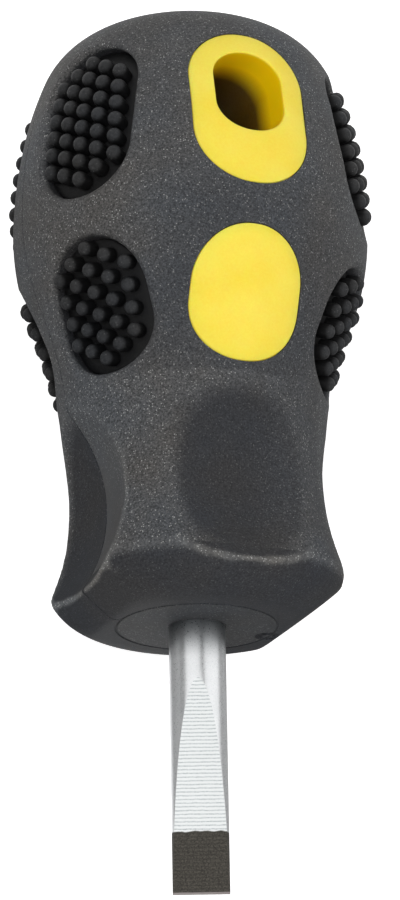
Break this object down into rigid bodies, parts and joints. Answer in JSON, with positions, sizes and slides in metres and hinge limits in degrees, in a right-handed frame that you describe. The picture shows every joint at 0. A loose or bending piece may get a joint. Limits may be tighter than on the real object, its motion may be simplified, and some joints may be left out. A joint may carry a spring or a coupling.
{
  "type": "stubby screwdriver",
  "caption": "Stubby slotted screwdriver with a fat soft-grip handle, oval studded pads, finger hollows, a hang eye through the butt end and a short steel blade.",
  "frame": {"origin": "centre of the blade's end face", "axes": "+Y along the tool's axis from the tip towards the butt, +Z out of the hang eye, +X to the right of the eye"},
  "size_m": [0.0388, 0.0973, 0.0388],
  "materials": {
    "blade": "satin chrome-plated steel, black oxide at the tip",
    "core": "fine-grained hard plastic, yellow",
    "grip": "matt soft elastomer, dark grey with fine pale speckle",
    "pad": "matt soft elastomer, black"
  },
  "bodies": {
    "root": {"blade": "blade", "core": "core", "grip": "grip", "pad_upper_front_left": "pad", "pad_upper_front_right": "pad", "pad_upper_rear_left": "pad", "pad_upper_rear_right": "pad", "pad_lower_front_left": "pad", "pad_lower_front_right": "pad", "pad_lower_rear_left": "pad", "pad_lower_rear_right": "pad"}
  },
  "joints": []
}
